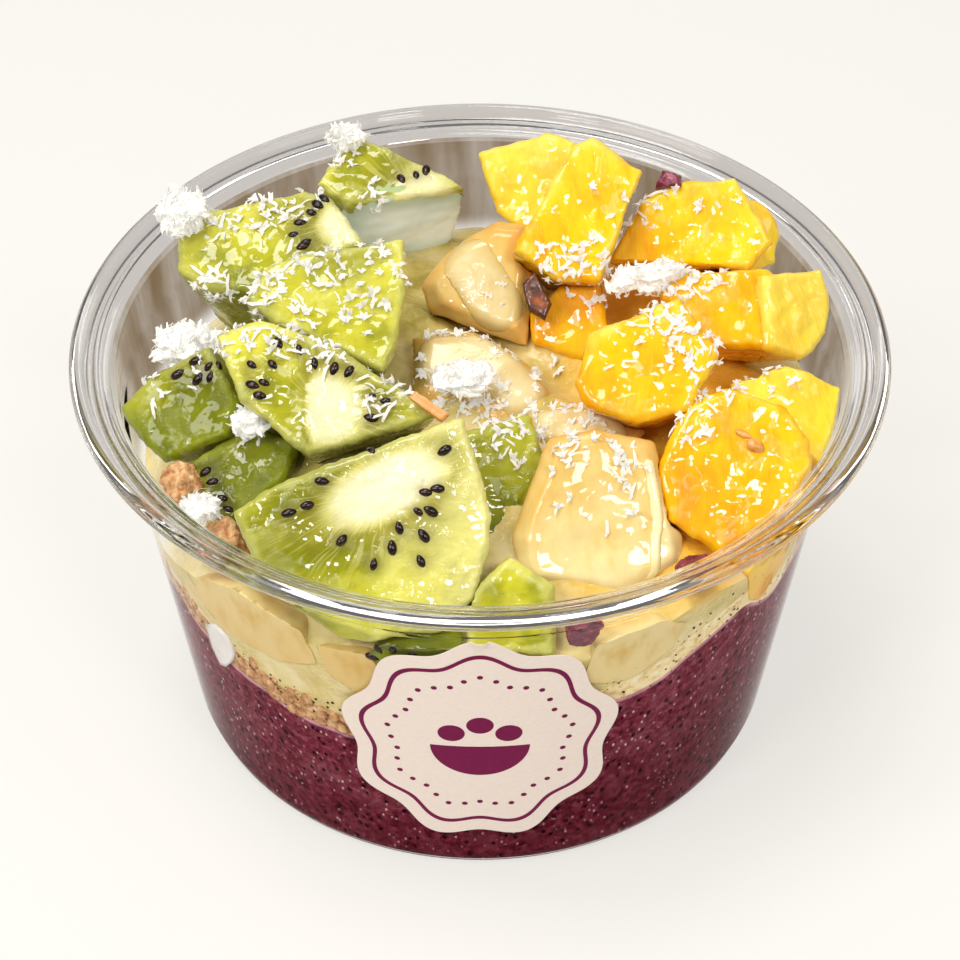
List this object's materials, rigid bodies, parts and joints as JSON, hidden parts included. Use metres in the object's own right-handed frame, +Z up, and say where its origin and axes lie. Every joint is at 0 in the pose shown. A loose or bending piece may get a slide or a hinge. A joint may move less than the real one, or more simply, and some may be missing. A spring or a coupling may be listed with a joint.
{
  "type": "acai bowl",
  "caption": "Clear plastic tub of acai with granola and banana layers, heaped with cut kiwi, pineapple, glazed banana and coconut shreds, with a scalloped label.",
  "frame": {"origin": "middle of the tub's foot, on the surface it stands on", "axes": "+Z up along the tub's axis, -Y towards the label and the viewer, +X to the viewer's right"},
  "size_m": [0.118, 0.118, 0.0826],
  "materials": {
    "tub": "clear",
    "label": "satin",
    "acai": "wet",
    "granola": "rough",
    "banana": "glazed",
    "kiwi": "wet",
    "pineapple": "wet",
    "coconut": "dry",
    "dried_fruit": "wet",
    "nut": "roasted"
  },
  "bodies": {
    "root": {"tub": "tub", "label": "label", "acai": "acai", "granola": "granola", "granola_low": "granola", "granola_rim": "granola", "banana_bed": "banana", "banana_back": "banana", "banana_foot": "banana", "banana_front": "banana", "banana_left": "banana", "banana_low": "banana", "banana_middle": "banana", "banana_right": "banana", "kiwi_back": "kiwi", "kiwi_centre": "kiwi", "kiwi_core": "kiwi", "kiwi_front": "kiwi", "kiwi_left": "kiwi", "kiwi_left_back": "kiwi", "kiwi_left_low": "kiwi", "kiwi_slab": "kiwi", "kiwi_small": "kiwi", "kiwi_wall": "kiwi", "pineapple_back": "pineapple", "pineapple_back_left": "pineapple", "pineapple_back_right": "pineapple", "pineapple_front": "pineapple", "pineapple_low": "pineapple", "pineapple_middle": "pineapple", "pineapple_right": "pineapple", "pineapple_right_low": "pineapple", "pineapple_tall": "pineapple", "pineapple_upper": "pineapple", "pineapple_wall": "pineapple", "coconut_back": "coconut", "coconut_back_left": "coconut", "coconut_centre": "coconut", "coconut_left": "coconut", "coconut_low": "coconut", "coconut_mid": "coconut", "coconut_right": "coconut", "dried_fruit_back": "dried_fruit", "dried_fruit_front": "dried_fruit", "dried_fruit_right": "dried_fruit", "nut_dark": "nut", "nut_sliver": "nut"}
  },
  "joints": []
}
